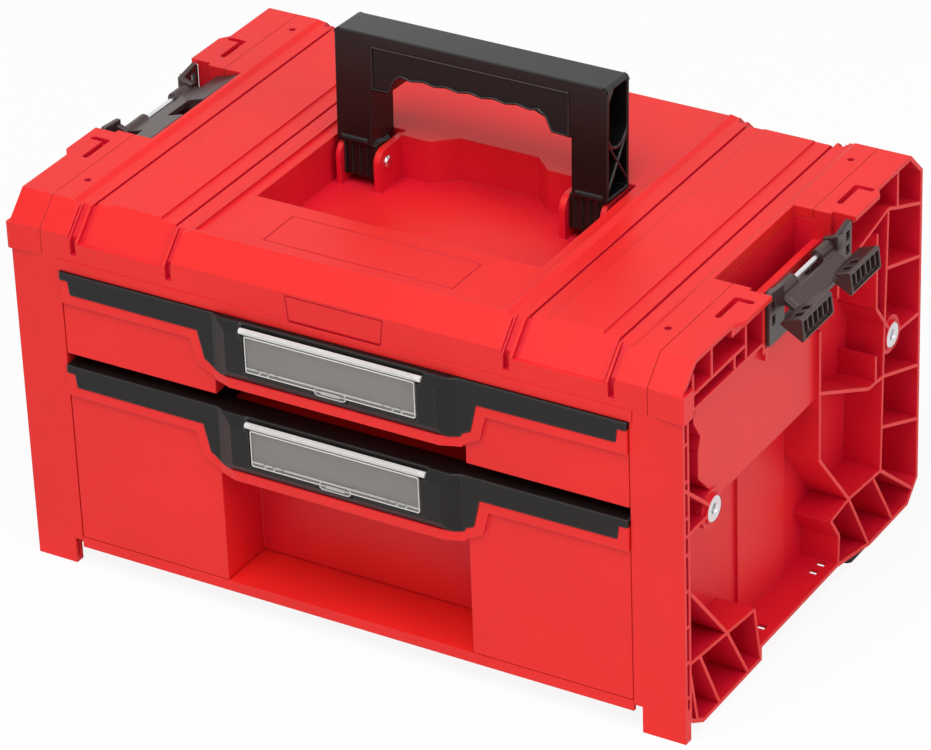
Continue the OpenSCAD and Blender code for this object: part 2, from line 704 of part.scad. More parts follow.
module tray(z0, zt) {
    z1 = zt - trim_h;
    hood = zt - 38.3 - band_w;
    difference() {
        union() {
            block(-tray_hw, tray_hw, yf + eps, tray_back, z0, z1 - 2);
            block(-front_hw, front_hw, yf, yf + wall, z0, z1);
            // Red band that carries the grip strip
            along_y(yf - band_out, yf + eps) difference() {
                polygon(concat(band_low(zt), flip(band_low(zt))));
                polygon(concat(trim_low(zt), flip(trim_low(zt))));
            }
            along_z(hood, hood + band_w) bulge_plan(grip_out - 2, yf + wall);
            // Rail and stop lug on each side
            both_sides() {
                block(tray_hw - eps, rail_x, front(30), tray_back, rail_z(z0) - rail_h / 2,
                    rail_z(z0) + rail_h / 2);
                block(tray_hw - eps, tray_hw + 4, tray_back - stop_l, tray_back, stop_z(z0),
                    stop_z(z0) + stop_h);
            }
        }
        difference() {
            block(wall - tray_hw, tray_hw - wall, yf + wall, tray_back - wall, z0 + wall, z1 + 1);
            block(-niche_hw - wall, niche_hw + wall, yf, niche_y + wall, z0, z1 - 2);
        }
        // Set-back middle, and the finger space behind the grip
        block(-niche_hw, niche_hw, yf - 20, niche_y, z0 - 1, hood);
        block(-niche_hw, niche_hw, yf + wall, niche_y, hood - 1, z1 - 2 - wall);
        for (x = trim_screw_x) rod_y(yf - 1, yf + wall + 1, x, zt - 10, 2.6);
    }
}
function rail_z(z0) = z0 + 24;
// The lug on the tray meets a lug on the runner at the end of the travel
stop_l = 6;
stop_h = 5;
function stop_z(z0) = rail_z(z0) + rail_h / 2 + run_gap + 3.5;
trim_screw_x = [for (d = [26, 71], side = [-1, 1]) side * (front_hw - d)];

module trim_screws(zt) for (x = trim_screw_x) {
    rod_y(yf + 0.1, yf + wall, x, zt - 10, 2.4);
    rod_y(yf + wall, yf + wall + 1.6, x, zt - 10, 5.4);
}

label_y = yf - grip_out;
hinge_y = label_y + 1.9;
module grip_trim(zt) {
    difference() {
        union() {
            along_y(yf - band_out - 0.6, yf) polygon(concat([[front_hw, zt], [front_hw, zt - trim_h]],
                trim_low(zt), flip(trim_low(zt)), [[-front_hw, zt - trim_h], [-front_hw, zt]]));
            block(-front_hw, front_hw, yf - eps, yf + 12, zt - trim_h, zt);
            intersection() {
                along_z(zt - 38.3, zt) bulge_plan(grip_out, yf - band_out);
                along_x(-bulge_hw[1], bulge_hw[1]) polygon([[yf, zt], [yf - 4.5, zt],
                    [yf - grip_out, zt - 5.7], [yf - grip_out, zt - 33], [yf - grip_out + 3, zt - 38.3],
                    [yf, zt - 38.3]]);
            }
        }
        // Shallow seat for the card and the clear cover
        block(-label_w / 2 - 1, label_w / 2 + 1, label_y - 1, label_y + 2.6, zt - 9 - label_h,
            zt - 4);
        block(-label_w / 2 - 4, label_w / 2 + 4, label_y - 1, hinge_y + 2.4, zt - 6.8, zt + 1);
        block(-12.5, 12.5, label_y - 1, label_y + 2, zt - 11.5 - label_h, zt - 8);
    }
}

module label_card(zt) block(-label_w / 2 + 0.5, label_w / 2 - 0.5, label_y + 2.2, label_y + 2.6,
    zt - 8.6 - label_h, zt - 8);

function label_hinge_z(zt) = zt - 4.2;
module label_cover(zt) {
    zh = label_hinge_z(zt);
    block(-label_w / 2, label_w / 2, label_y + 0.2, label_y + 0.2 + label_t, zt - 8.4 - label_h, zh);
    // Hinge bar with a round back, and the finger tab
    rod_x(-label_w / 2 - 3.5, label_w / 2 + 3.5, hinge_y, zh, 3.4);
    along_y(label_y, label_y + 0.2 + label_t) {
        translate([-8, zt - 8 - label_h]) circle(d = 5.6);
        translate([8, zt - 8 - label_h]) circle(d = 5.6);
        translate([-8, zt - 10.8 - label_h]) square([16, 5.6]);
    }
    // Small studs that hold it shut
    both_sides() for (i = [0 : 2])
        rod_y(label_y, label_y + 0.3, label_w / 2 - 9.5 - i * 6, zt - 5.4 - label_h, 2);
}

// Dividers: three bays above, two below
upper_divider_x = [-tray_hw / 3, tray_hw / 3];
lower_divider_x = [0];
module dividers(z0, z1, list) for (x = list)
    block(x - 1, x + 1, niche_y + wall + 6, tray_back - wall - 0.4, z0 + wall + 0.3, z1);

module upper_tray() color(case_red) tray(upper_base, upper_top);
module lower_tray() color(case_red) tray(lower_base, lower_top);
module upper_grip_trim() color(trim_black) grip_trim(upper_top);
module lower_grip_trim() color(trim_black) grip_trim(lower_top);
module upper_label_card() color(paper_grey) label_card(upper_top);
module lower_label_card() color(paper_grey) label_card(lower_top);
module upper_label_cover() color(clear_grey) label_cover(upper_top);
module lower_label_cover() color(clear_grey) label_cover(lower_top);
module upper_dividers() color(trim_black) dividers(upper_base, upper_top - 2 * band_w,
    upper_divider_x);
module lower_dividers() color(trim_black) dividers(lower_base,
    (lower_base + lower_top) / 2, lower_divider_x);
module upper_trim_screws() color(steel) trim_screws(upper_top);
module lower_trim_screws() color(steel) trim_screws(lower_top);

// Fixed runner: a channel on the web that the tray's rail slides in
module runner(z0) {
    z = rail_z(z0);
    h = rail_h / 2 + run_gap;
    stop_y = tray_back - stop_l - drawer_travel - run_gap;
    x0 = tray_hw + run_gap;
    x1 = bay_x;
    y0 = front(30);
    y1 = back(12);
    difference() {
        union() {
            block(rail_x + run_gap, x1, y0, y1, z - h - 4, z + h + 4);
            block(x0, x1, y0, y1, z - h - 4, z - h);
            block(x0, x1, y0, y1, z + h, z + h + 3);
            block(x0, x1, stop_y - stop_l, stop_y, z + h, stop_z(z0) + stop_h);
        }
        for (y = runner_screw_y) rod_x(rail_x, x1 + 1, y, z, 3.2);
    }
}
runner_screw_y = [front(60), back(60)];
module upper_right_runner() color(trim_black) runner(upper_base);
module lower_right_runner() color(trim_black) runner(lower_base);
module upper_left_runner() color(trim_black) mirror([1, 0, 0]) runner(upper_base);
module lower_left_runner() color(trim_black) mirror([1, 0, 0]) runner(lower_base);
module runner_screws() color(steel) both_sides() for (z = [upper_base, lower_base])
    for (y = runner_screw_y) rod_x(rail_x + run_gap + 0.6, bay_x, y, rail_z(z), 3);

// ---- Side clips ----

// Two tabs carry the pin, measured outwards from the middle
tab_d = [33.2, 37.2];
knuckle_d = 8.4;
knuckles = [[mid_y - tab_d[0] + run_gap, mid_y - 12.2], [mid_y + 18.8, mid_y + tab_d[0] - run_gap]];
plate_x = [hw - 0.5, hw + 2.5];

module clip_bracket() difference() {
    union() {
        for (side = [-1, 1]) translate([0, mid_y + side * (tab_d[0] + tab_d[1]) / 2, 0])
            along_y(-2, 2) polygon([[step_x[1] + 0.2, wide_z + 1], [step_x[1] + 0.2, top(24)],
                [pin_x - 5, pin_z - 2], [pin_x - 3.6, pin_z + 4.2], [pin_x + 2, pin_z + 6],
                [plate_x[1], top(4)], [plate_x[1], wide_z + 1]]);
        // Strip along the pocket step that joins the tabs
        block(step_x[1] + 0.2, step_x[1] + 1.8, mid_y - tab_d[1], mid_y + tab_d[1], wide_z + 1,
            top(25));
        // Outer plate with an ear at each end
        along_x(plate_x[0], plate_x[1]) polygon([[wide_y[0] + 0.8, wide_z + 2],
            [wide_y[0] + 1.8, wide_z + 1], [wide_y[1] - 1.8, wide_z + 1],
            [wide_y[1] - 0.8, wide_z + 2], [wide_y[1] - 0.8, top(3)], [wide_y[1] - 3, top(1)],
            [mid_y + tab_d[0], top(5)], [mid_y + tab_d[0], top(25)],
            [mid_y - tab_d[0], top(25)], [mid_y - tab_d[0], top(2)], [wide_y[0] + 3, top(0.5)],
            [wide_y[0] + 0.8, top(3)]]);
    }
    rod_y(wide_y[0], wide_y[1], pin_x, pin_z, clip_pin_d + 0.04);
    // Windows in the ears
    for (y = [wide_y[0] + 4, wide_y[1] - 8], z = [top(19), top(10)])
        block(hw - 5, hw + 5, y, y + 4, z - 3, z + 3);
}
module right_clip_bracket() color(clip_brown) clip_bracket();
module left_clip_bracket() color(clip_brown) mirror([1, 0, 0]) clip_bracket();

module clip_pins() color(steel) both_sides()
    rod_y(mid_y - tab_d[1] - 0.5, mid_y + tab_d[1] + 0.5, pin_x, pin_z, clip_pin_d);

hook_l = 37;
lever_t = 3;
// Where the lever widens beyond the ears, and the end of its plate
lever_u = [13.4, 17.4];
hook_top = [clip_reach - 7.7, 11];
// Side view of a hook and of its hollow, open on the outer side
hook_side = [[lever_u[0], -lever_t / 2], [clip_reach, -lever_t / 2], [clip_reach, 0.9], hook_top,
    [hook_top[0] - 1.6, 10.4], [lever_u[0], 1.5]];
hook_hollow = [[lever_u[0] + 2.4, 0], [clip_reach - 1.4, 0], [clip_reach + 1.6, 3.4],
    [hook_top[0] + 3, 12.1]];

// The lever lies along +X from its pin before it is turned to its resting angle
module clip_plate() {
    y0 = mid_y - clip_w / 2;
    y1 = mid_y + clip_w / 2;
    t = lever_t / 2;
    hook_y = [y0, y1 - hook_l];
    difference() {
        union() {
            for (k = knuckles) {
                rod_y(k[0], k[1], 0, 0, knuckle_d);
                block(0, 6, k[0], k[1], -t, t);
            }
            block(5, lever_u[1], knuckles[0][0], knuckles[1][1], -t, t);
            block(lever_u[0], lever_u[1], y0, y1, -t, t);
            // Raised middle of the plate
            block(6, lever_u[1] - 0.3, mid_y - 29, mid_y + 24, t - eps, t + 0.6);
            for (y = hook_y) along_y(y, y + hook_l) polygon(hook_side);
        }
        rod_y(wide_y[0], wide_y[1], 0, 0, clip_pin_d + 0.08);
        for (y = hook_y) {
            // Each hook box has ribs across it
            difference() {
                along_y(y + 1.5, y + hook_l - 1.5) polygon(hook_hollow);
                for (i = [1 : 5]) block(lever_u[0], clip_reach - 2.5, y + i * hook_l / 6 - 0.6,
                    y + i * hook_l / 6 + 0.6, -1, 10);
            }
            // Windows in the top band
            for (d = [5, 14]) block(lever_u[0] + 3, lever_u[0] + 6.5, y + d, y + d + 5, 2.4, 12);
        }
    }
}
module clip_lever(down) translate([pin_x, 0, pin_z]) rotate([0, down, 0]) clip_plate();
module right_clip_lever() color(clip_brown) clip_lever(clip_angle);
module left_clip_lever() color(clip_brown) mirror([1, 0, 0]) clip_lever(clip_fold - 180);

// The swung clip reaches further out than the left side: everything is moved to
// the left by half of the difference
right_reach = pin_x + clip_reach * cos(clip_angle) + 0.9 * sin(clip_angle);
module placed() translate([(hw + swell - right_reach) / 2, 0, 0]) children();

placed() base_floor();
placed() left_side_frame();
placed() right_side_frame();
placed() back_panel();
placed() top_cover();
placed() handle_pins();
placed() left_clip_bracket();
placed() right_clip_bracket();
placed() clip_pins();
placed() side_sleeves();
placed() rubber_feet();
placed() upper_left_runner();
placed() upper_right_runner();
placed() lower_left_runner();
placed() lower_right_runner();
placed() runner_screws();
placed() cover_screws();
placed() upper_tray();
placed() upper_grip_trim();
placed() upper_label_card();
placed() upper_dividers();
placed() upper_trim_screws();
placed() lower_tray();
placed() lower_grip_trim();
placed() lower_label_card();
placed() lower_dividers();
placed() lower_trim_screws();
placed() upper_label_cover();
placed() lower_label_cover();
placed() carry_handle();
placed() handle_grip();
placed() left_clip_lever();
placed() right_clip_lever();
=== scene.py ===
"""Looks of a portable tool box with two drawers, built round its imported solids."""

import json

import bmesh
import bpy
import numpy as np
from mathutils import Matrix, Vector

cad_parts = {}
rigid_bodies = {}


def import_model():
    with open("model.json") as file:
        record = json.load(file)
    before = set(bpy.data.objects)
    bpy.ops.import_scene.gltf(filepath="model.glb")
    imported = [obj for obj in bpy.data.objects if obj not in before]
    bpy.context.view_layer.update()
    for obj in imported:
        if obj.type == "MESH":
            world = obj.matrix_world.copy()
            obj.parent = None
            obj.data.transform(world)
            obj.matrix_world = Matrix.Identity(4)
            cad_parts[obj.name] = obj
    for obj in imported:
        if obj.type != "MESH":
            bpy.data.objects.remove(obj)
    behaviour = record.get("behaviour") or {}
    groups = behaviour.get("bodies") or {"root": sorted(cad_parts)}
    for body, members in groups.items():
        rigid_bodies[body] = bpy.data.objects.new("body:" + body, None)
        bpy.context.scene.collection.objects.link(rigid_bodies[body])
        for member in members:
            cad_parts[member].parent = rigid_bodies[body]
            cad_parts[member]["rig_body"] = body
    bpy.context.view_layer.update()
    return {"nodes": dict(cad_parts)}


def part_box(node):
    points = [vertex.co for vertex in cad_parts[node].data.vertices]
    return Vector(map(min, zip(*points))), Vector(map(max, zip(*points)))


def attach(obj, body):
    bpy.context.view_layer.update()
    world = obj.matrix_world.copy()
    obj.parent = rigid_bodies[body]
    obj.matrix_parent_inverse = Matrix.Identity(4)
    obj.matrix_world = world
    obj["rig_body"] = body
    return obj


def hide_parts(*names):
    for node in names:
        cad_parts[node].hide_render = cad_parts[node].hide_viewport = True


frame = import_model()

# ---- Camera ----
# The box is seen from the front right and from above, from about 2.9 m away
# with a long lens, as its own parallel edges in the photograph show.
camera_data = bpy.data.cameras.new("camera")
camera_data.sensor_fit = "HORIZONTAL"
camera_data.sensor_width = 36.0
camera_data.lens = 181.73
camera_data.clip_end = 50.0
camera = bpy.data.objects.new("camera", camera_data)
camera.matrix_world = Matrix(
    (
        (0.86107, -0.22971, 0.45365, 1.2766),
        (0.50739, 0.44677, -0.73685, -2.0948),
        (-0.03342, 0.86466, 0.50125, 1.5329),
        (0.0, 0.0, 0.0, 1.0),
    )
)
bpy.context.scene.collection.objects.link(camera)
bpy.context.scene.camera = camera
bpy.context.scene.view_settings.view_transform = "Standard"


# ---- Floor and light ----
# A white studio floor under an even pale sky, a large soft lamp high in front
# of the box and a weaker one on its right, so that the top is the brightest
# side and the right end the darkest.
class Value:
    """One output socket of a material. Sums and products on it add Math nodes."""

    def __init__(self, finish, socket):
        self.finish = finish
        self.socket = socket

    def maths(self, operation, first, second=0.0, clamp=False):
        settings = {"operation": operation, "use_clamp": clamp}
        return self.finish.node("ShaderNodeMath", settings, {0: first, 1: second})

    def __add__(self, other):
        return self.maths("ADD", self, other)

    def __radd__(self, other):
        return self.maths("ADD", other, self)

    def __sub__(self, other):
        return self.maths("SUBTRACT", self, other)

    def __rsub__(self, other):
        return self.maths("SUBTRACT", other, self)

    def __mul__(self, other):
        return self.maths("MULTIPLY", self, other)

    def __rmul__(self, other):
        return self.maths("MULTIPLY", other, self)

    def clamped(self):
        return self.maths("ADD", self, 0.0, clamp=True)


class Finish:
    """A material in the making. node adds any node to it and returns one of the outputs."""

    def __init__(self, name, tree=None):
        if tree is None:
            self.material = bpy.data.materials.new(name)
            self.material.use_nodes = True
            tree = self.material.node_tree
        self.tree = tree
        self.tree.nodes.clear()

    def node(self, kind, settings=None, sockets=None, out=0):
        made = self.tree.nodes.new(kind)
        for key, value in (settings or {}).items():
            setattr(made, key, value)
        for key, value in (sockets or {}).items():
            if isinstance(value, Value):
                self.tree.links.new(value.socket, made.inputs[key])
            else:
                made.inputs[key].default_value = value
        return Value(self, made.outputs[out]) if len(made.outputs) else None

    def blend(self, share, first, second):
        """The first colour, turned into the second by the share."""
        return self.node("ShaderNodeMix", {"data_type": "RGBA"},
                         {0: share, 6: first, 7: second}, out=2)

    def noise(self, place, scale, detail, roughness=0.5):
        """Soft noise from 0 to 1, about as many grains to the metre as its scale says."""
        return self.node("ShaderNodeTexNoise", None, {"Vector": place, "Scale": scale,
                                                      "Detail": detail, "Roughness": roughness})

    def closed(self, sockets):
        """Ends the material with a Principled shader and returns it."""
        shader = self.node("ShaderNodeBsdfPrincipled", None, sockets)
        self.node("ShaderNodeOutputMaterial", None, {"Surface": shader})
        return self.material


def stage_world():
    """White behind the box for the camera and in reflections, soft grey light elsewhere."""
    sky_level = 0.40
    world = bpy.data.worlds.new("studio")
    bpy.context.scene.world = world
    world.use_nodes = True
    sky = Finish("studio", world.node_tree)
    seen = sky.node("ShaderNodeLightPath", out="Is Camera Ray")
    glossy = sky.node("ShaderNodeLightPath", out="Is Glossy Ray")
    through = sky.node("ShaderNodeLightPath", out="Is Transmission Ray")
    white = (seen + glossy + through).clamped()
    strength = sky_level + white * (1.0 - sky_level)
    glow = sky.node("ShaderNodeBackground", None, {"Color": (1, 1, 1, 1), "Strength": strength})
    sky.node("ShaderNodeOutputWorld", None, {"Surface": glow})


def soft_lamp(name, place, target, size, power):
    """A round lamp at a place with its beam towards a target."""
    data = bpy.data.lights.new(name, "AREA")
    data.shape = "DISK"
    data.size = size
    data.energy = power
    lamp = bpy.data.objects.new(name, data)
    bpy.context.scene.collection.objects.link(lamp)
    back = np.array(place, float) - np.array(target, float)
    back /= np.linalg.norm(back)
    right = np.cross((0, 0, 1), back)
    right /= np.linalg.norm(right)
    turn = np.eye(4)
    turn[:3, 0], turn[:3, 1], turn[:3, 2], turn[:3, 3] = right, np.cross(back, right), back, place
    lamp.matrix_world = Matrix(turn.tolist())


def lay_floor():
    """A pale sheet under the box. The camera sees it nearly white, with the box's shadow."""
    half = 6.0
    whiteness = 0.9
    mesh = bpy.data.meshes.new("studio_floor")
    corners = [(-half, -half, 0), (half, -half, 0), (half, half, 0), (-half, half, 0)]
    mesh.from_pydata(corners, [], [(0, 1, 2, 3)])
    floor = bpy.data.objects.new("studio_floor", mesh)
    bpy.context.scene.collection.objects.link(floor)
    paint = Finish("pale_floor")
    seen = paint.node("ShaderNodeLightPath", out="Is Camera Ray")
    pale = paint.node("ShaderNodeBsdfDiffuse", None, {"Color": (0.93, 0.93, 0.93, 1)})
    white = paint.node("ShaderNodeEmission", None, {"Color": (1, 1, 1, 1), "Strength": 1.0})
    both = paint.node("ShaderNodeMixShader", None, {0: seen * whiteness, 1: pale, 2: white})
    paint.node("ShaderNodeOutputMaterial", None, {"Surface": both})
    mesh.materials.append(paint.material)


stage_world()
lamp_target = (0, 0, 0.1)
soft_lamp("key_lamp", (0.2, -1.2, 2.7), lamp_target, size=2.2, power=60.0)
soft_lamp("side_lamp", (2.3, -0.5, 1.4), lamp_target, size=1.4, power=14.0)
lay_floor()


# ---- Base and back ----
# The floor of the case with its front rail, and the back wall with its sunk
# field. Both are injection moulded in red plastic with a satin spark-eroded
# skin and are closed in between the two end frames.
def moulded(name, colour, roughness, shine, edge=0.3, highlight_and_wear_lift=0.04, grain=0.6, painted_hollow_shade=None):
    """Satin moulded plastic.

    Base colour = colour, a little lighter or darker by slow cloudy noise and fine grain,
    and paler by the given lift where the rounded-edge normal turns away from the flat one:
    a painted highlight along the edges, partly edge wear. With a shade colour given for
    hollows, it turns to that where the piece's own walls close it in: painted shade in
    hollows and corners. Roughness follows the noises and the edges. Bump = the fine grain,
    laid on the rounded-edge normal.
    """
    edge_radius, painted_shade_reach = 0.0009, 0.07
    made = Finish(name)
    place = made.node("ShaderNodeTexCoord", out="Object")
    cloud = made.noise(place, 11.0, 3.0, 0.55)
    fine = made.noise(place, 900.0, 2.0, 0.6)
    rounded = made.node("ShaderNodeBevel", {"samples": 4}, {"Radius": edge_radius})
    flat = made.node("ShaderNodeNewGeometry", out="Normal")
    alike = made.node("ShaderNodeVectorMath", {"operation": "DOT_PRODUCT"},
                      {0: rounded, 1: flat}, out="Value")
    # Painted highlight along rounded edges, partly edge wear: where the rounded normal turns
    # away.
    edge_highlight_and_wear = ((1.0 - alike) * 5.0).clamped()
    dark = [c * 0.86 for c in colour] + [1.0]
    light = [min(1.0, c * 1.12) for c in colour] + [1.0]
    pale = [min(1.0, c * 1.2 + highlight_and_wear_lift) for c in colour] + [1.0]
    shade = (0.5 + (cloud - 0.5) * 0.9 + (fine - 0.5) * 0.6).clamped()
    base = made.blend(edge_highlight_and_wear * edge, made.blend(shade, dark, light), pale)
    # Painted shade: a darker, cooler red where the piece's own walls close it in.
    if painted_hollow_shade:
        open_sky = made.node("ShaderNodeAmbientOcclusion", {"samples": 6, "only_local": True},
                             {"Distance": painted_shade_reach}, out="AO")
        base = made.blend(open_sky, list(painted_hollow_shade) + [1.0], base)
    rough = roughness + (cloud - 0.5) * 0.1 + (fine - 0.5) * 0.1 - edge_highlight_and_wear * 0.06
    bump = made.node("ShaderNodeBump", None, {"Strength": grain, "Distance": 0.00004,
                                              "Height": fine, "Normal": rounded})
    return made.closed({"Base Color": base, "Roughness": rough, "Normal": bump,
                        "Specular IOR Level": shine})


def joined(piece, node):
    """Links a new piece to the scene and to the body of a CAD node."""
    bpy.context.scene.collection.objects.link(piece)
    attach(piece, frame["nodes"][node]["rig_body"])


def moulding(node, material, rounding=0.0):
    """Dresses a CAD node in a copy of its own mesh.

    The copy's loose triangles are merged. Faces whose neighbours turn by 0.7 to 18 degrees
    belong to a curve and are shaded smooth, the rest stay flat, and sharper edges stay
    sharp, or get a round of the given width from 32 degrees up.
    """
    merge_distance = 1e-5
    curve_from, sharp_from, round_from = 0.7, 18.0, 32.0
    mesh = frame["nodes"][node].data.copy()
    mesh.name = node + "_shell"
    form = bmesh.new()
    form.from_mesh(mesh)
    bmesh.ops.remove_doubles(form, verts=form.verts, dist=merge_distance)
    for face in form.faces:
        face.smooth = False
    for edge in form.edges:
        if len(edge.link_faces) == 2:
            turn = np.degrees(edge.calc_face_angle())
            if curve_from < turn < sharp_from:
                for face in edge.link_faces:
                    face.smooth = True
            elif turn >= sharp_from:
                edge.smooth = False
    form.to_mesh(mesh)
    form.free()
    mesh.materials.clear()
    mesh.materials.append(material)
    piece = bpy.data.objects.new(node + "_shell", mesh)
    joined(piece, node)
    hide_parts(node)
    if rounding:
        edges = piece.modifiers.new("rounding", "BEVEL")
        edges.width = rounding
        edges.segments = 2
        edges.limit_method = "ANGLE"
        edges.angle_limit = np.radians(round_from)
        edges.use_clamp_overlap = False


# Its edges get a painted highlight, partly wear, and its hollows a painted crimson shade.
case_red = moulded("case_red", (0.82, 0.019, 0.017), roughness=0.42, shine=0.25, edge=0.45,
                   painted_hollow_shade=(0.62, 0.003, 0.038))
moulding("base_floor", case_red)
moulding("back_panel", case_red)

# ---- End frames, feet and sleeves ----
# Each end is one open ribbed frame in the same red plastic: a front post, a
# clip pocket, two cross bosses and thin ribs. Dark rubber feet are pressed
# into its sill, and bright flanged steel sleeves into its bosses.
moulding("left_side_frame", case_red)
moulding("right_side_frame", case_red)
rubber = moulded("rubber", (0.022, 0.018, 0.018), roughness=0.72, shine=0.3, edge=0.15,
                 grain=1.0)
moulding("rubber_feet", rubber, rounding=0.0006)


def metal(name, colour, roughness):
    """Turned steel.

    Base colour = colour, mottled by slow noise. Roughness = roughness, moved by the same
    noise and by a much finer one, which is also the bump.
    """
    made = Finish(name)
    place = made.node("ShaderNodeTexCoord", out="Object")
    cloud = made.noise(place, 160.0, 2.0)
    fine = made.noise(place, 2200.0, 1.0)
    dark = [c * 0.8 for c in colour] + [1.0]
    base = made.blend(cloud, dark, list(colour) + [1.0])
    rough = roughness + (cloud - 0.5) * 0.12 + (fine - 0.5) * 0.08
    bump = made.node("ShaderNodeBump", None,
                     {"Strength": 0.3, "Distance": 0.00002, "Height": fine})
    return made.closed({"Base Color": base, "Roughness": rough, "Metallic": 1.0,
                        "Normal": bump})


def surface(name, points, node, material, loops=(True, True)):
    """A smooth piece from a grid of points.

    Cell (i, j) spans points (i, j), (i + 1, j), (i + 1, j + 1) and (i, j + 1). The grid
    closes on itself in each direction that loops, and points that meet are merged.
    """
    merge_distance, sharp_from = 1e-7, 40.0
    rows, columns = points.shape[:2]
    number = np.arange(rows * columns).reshape(rows, columns)
    down = np.roll(number, -1, 0)
    across = np.roll(number, -1, 1)
    cells = np.stack([number, down, np.roll(down, -1, 1), across], 2)
    cells = cells[: rows if loops[0] else rows - 1, : columns if loops[1] else columns - 1]
    mesh = bpy.data.meshes.new(name)
    mesh.from_pydata(points.reshape(-1, 3).tolist(), [], cells.reshape(-1, 4).tolist())
    form = bmesh.new()
    form.from_mesh(mesh)
    bmesh.ops.remove_doubles(form, verts=form.verts, dist=merge_distance)
    bmesh.ops.recalc_face_normals(form, faces=form.faces)
    for face in form.faces:
        face.smooth = True
    for edge in form.edges:
        if len(edge.link_faces) == 2 and np.degrees(edge.calc_face_angle()) > sharp_from:
            edge.smooth = False
    form.to_mesh(mesh)
    form.free()
    mesh.materials.append(material)
    piece = bpy.data.objects.new(name, mesh)
    joined(piece, node)
    return piece


def turned(profile, centre, side, turns=56):
    """A profile of (depth, radius) pairs in mm turned about a line along X.

    Point (i, j) = centre - side * depth_i along X, plus radius_i in the direction of angle
    t_j in Y and Z, where t_j runs round the full turn.
    """
    depth, radius = np.array(profile, float).T[:, :, None] / 1000
    t = np.linspace(0, 2 * np.pi, turns, endpoint=False)[None, :]
    return np.stack([centre[0] - side * depth + 0 * t, centre[1] + radius * np.cos(t),
                     centre[2] + radius * np.sin(t)], 2)


steel = metal("steel", (0.80, 0.80, 0.82), roughness=0.24)
low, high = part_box("side_sleeves")
middle_x = (low[0] + high[0]) / 2
bosses = (("front", -0.1096, 0.1382), ("back", 0.1178, 0.1355))
sleeve_profile = [(0, 6.9), (0.15, 7.7), (0.5, 8.15), (0.9, 8.2), (1.2, 8.1), (1.2, 5.0),
                  (28, 5.0), (28, 3.0), (1.3, 3.0), (0.5, 3.3), (0.1, 3.9), (0, 4.5)]
for place, y, z in bosses:
    for end, x, side in (("left", low[0], -1), ("right", high[0], 1)):
        sleeve = surface(f"{place}_{end}_sleeve", turned(sleeve_profile, (x, y, z), side),
                         "side_sleeves", steel)
        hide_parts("side_sleeves")

# ---- Drawer runners and their screws ----
# Black plastic channels screwed to the inner webs, one on each side of each
# drawer, with small steel pan-head screws.
# Strong painted highlight along its edges, partly wear.
trim_black = moulded("trim_black", (0.006, 0.005, 0.005), roughness=0.36, shine=0.26, edge=0.7,
                     highlight_and_wear_lift=0.12)
for drawer in ("upper", "lower"):
    for end in ("left", "right"):
        moulding(f"{drawer}_{end}_runner", trim_black)
for node in ("runner_screws", "cover_screws"):
    moulding(node, steel, rounding=0.0002)

# ---- Drawer trays ----
# One red moulding each: a deep box whose front is set back in the middle, with
# a raised band that follows the grip strip. Thin black dividers slot into it.
for drawer in ("upper", "lower"):
    moulding(f"{drawer}_tray", case_red, rounding=0.0006)
    moulding(f"{drawer}_dividers", trim_black, rounding=0.0003)

# ---- Grip strips ----
# A black plastic strip along the top of each drawer that bulges out in the
# middle into a grip, screwed on from inside the tray.
for drawer in ("upper", "lower"):
    moulding(f"{drawer}_grip_trim", trim_black, rounding=0.0009)
    moulding(f"{drawer}_trim_screws", steel, rounding=0.0002)


# ---- Label cards and clear covers ----
# A grey paper card lies in a shallow seat of each grip behind a hinged cover of
# clear plastic. The cover has a fluted hinge bar, a raised rim and an oval tab.
def paper(name, colour):
    """Plain card. Base colour follows fine fibre noise and slow clouds, and bump the fibre."""
    made = Finish(name)
    place = made.node("ShaderNodeTexCoord", out="Object")
    fibre = made.noise(place, 1400.0, 3.0)
    cloud = made.noise(place, 30.0, 2.0)
    dark = [c * 0.8 for c in colour] + [1.0]
    light = [c * 1.15 for c in colour] + [1.0]
    base = made.blend((fibre * 0.25 + cloud * 0.75).clamped(), dark, light)
    bump = made.node("ShaderNodeBump", None,
                     {"Strength": 0.15, "Distance": 0.00002, "Height": fibre})
    return made.closed({"Base Color": base, "Roughness": 0.8, "Normal": bump,
                        "Specular IOR Level": 0.2})


def clear_plastic(name, colour, cover, roughness):
    """Clear plastic as a thin glossy veil of the given cover over what lies behind it.

    Roughness = roughness plus faint handling smears from stretched noise.
    """
    made = Finish(name)
    place = made.node("ShaderNodeTexCoord", out="Object")
    long = made.node("ShaderNodeMapping", None, {"Vector": place, "Scale": (20.0, 60.0, 160.0)})
    smear = made.noise(long, 1.0, 3.0)
    dark = [c * 0.85 for c in colour] + [1.0]
    base = made.blend(smear, dark, list(colour) + [1.0])
    rough = roughness + (smear - 0.5) * 0.12
    return made.closed({"Base Color": base, "Roughness": rough, "Alpha": cover,
                        "Specular IOR Level": 0.6})


def line_round(path, out, radius, wide=10):
    """A thin round line along a closed path.

    Point (i, j) = path_i + radius * (cos(t_j) * side_i + sin(t_j) * out), where side_i is
    square to out and to the path's run from its point before to its point after.
    """
    run = np.roll(path, -1, 0) - np.roll(path, 1, 0)
    side = np.cross(np.array(out, float), run)
    side /= np.linalg.norm(side, axis=1, keepdims=True)
    t = np.linspace(0, 2 * np.pi, wide, endpoint=False)[None, :, None]
    return path[:, None] + radius * (np.cos(t) * side[:, None] + np.sin(t) * np.array(out, float))


def rounded_frame(x0, x1, z0, z1, y, corner, steps=7):
    """A rectangle in X and Z whose corners are quarter circles, at one depth Y."""
    t = np.linspace(0, np.pi / 2, steps)
    quarters = [((x1 - corner, z1 - corner), 0), ((x0 + corner, z1 - corner), 1),
                ((x0 + corner, z0 + corner), 2), ((x1 - corner, z0 + corner), 3)]
    parts = [np.stack([c[0] + corner * np.cos(t + k * np.pi / 2), 0 * t + y,
                       c[1] + corner * np.sin(t + k * np.pi / 2)], 1) for c, k in quarters]
    return np.concatenate(parts)


